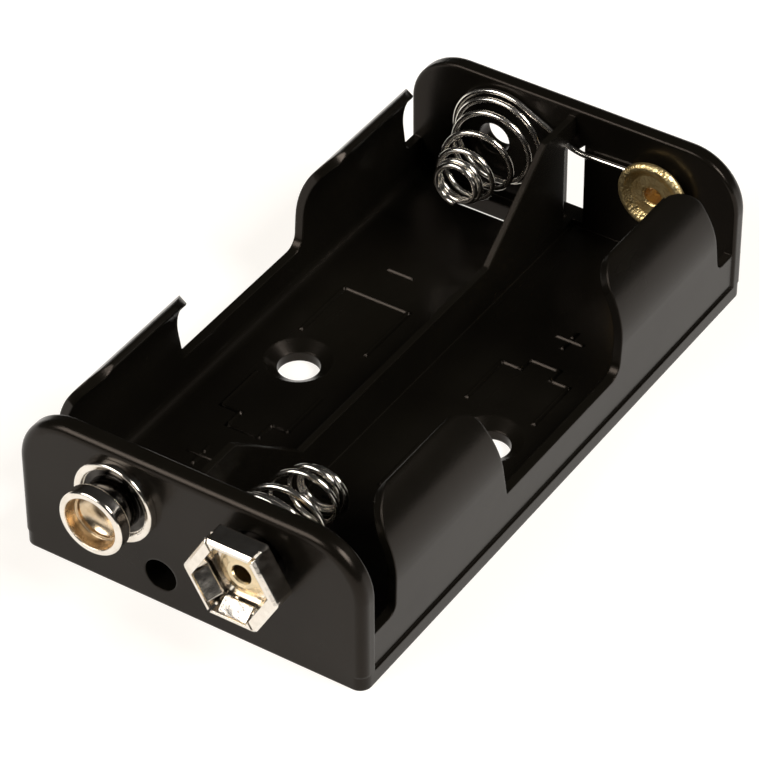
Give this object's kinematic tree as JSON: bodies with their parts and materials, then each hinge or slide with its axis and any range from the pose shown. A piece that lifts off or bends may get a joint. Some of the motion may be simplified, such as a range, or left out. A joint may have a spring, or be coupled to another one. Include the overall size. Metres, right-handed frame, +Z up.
{
  "type": "cylindrical cell holder",
  "caption": "Open moulded tray that grips cylindrical cells side by side with curled tongues, coil springs and contact buttons, and snaps onto a connector at one end.",
  "frame": {"origin": "centre of the underside of the moulding", "axes": "+X across the cells, towards the socket terminal; +Y along the cells, away from the terminals; +Z up, out of the open top"},
  "size_m": [0.0316, 0.0614, 0.0136],
  "materials": {
    "body_plastic": "satin black moulding",
    "stud_nickel": "nickel plate, bright",
    "socket_nickel": "nickel plate, bright",
    "stud_rivet_brass": "plain brass",
    "socket_rivet_nickel": "nickel plate",
    "far_rivet_brass": "plain brass",
    "near_spring_wire": "nickel-plated wire",
    "far_spring_wire": "nickel-plated wire"
  },
  "bodies": {
    "root": {"holder_body": "body_plastic", "stud_terminal": "stud_nickel", "socket_terminal": "socket_nickel", "stud_rivet": "stud_rivet_brass", "socket_rivet": "socket_rivet_nickel", "far_rivet": "far_rivet_brass", "near_spring": "near_spring_wire", "far_spring_wire": "far_spring_wire"}
  },
  "joints": []
}
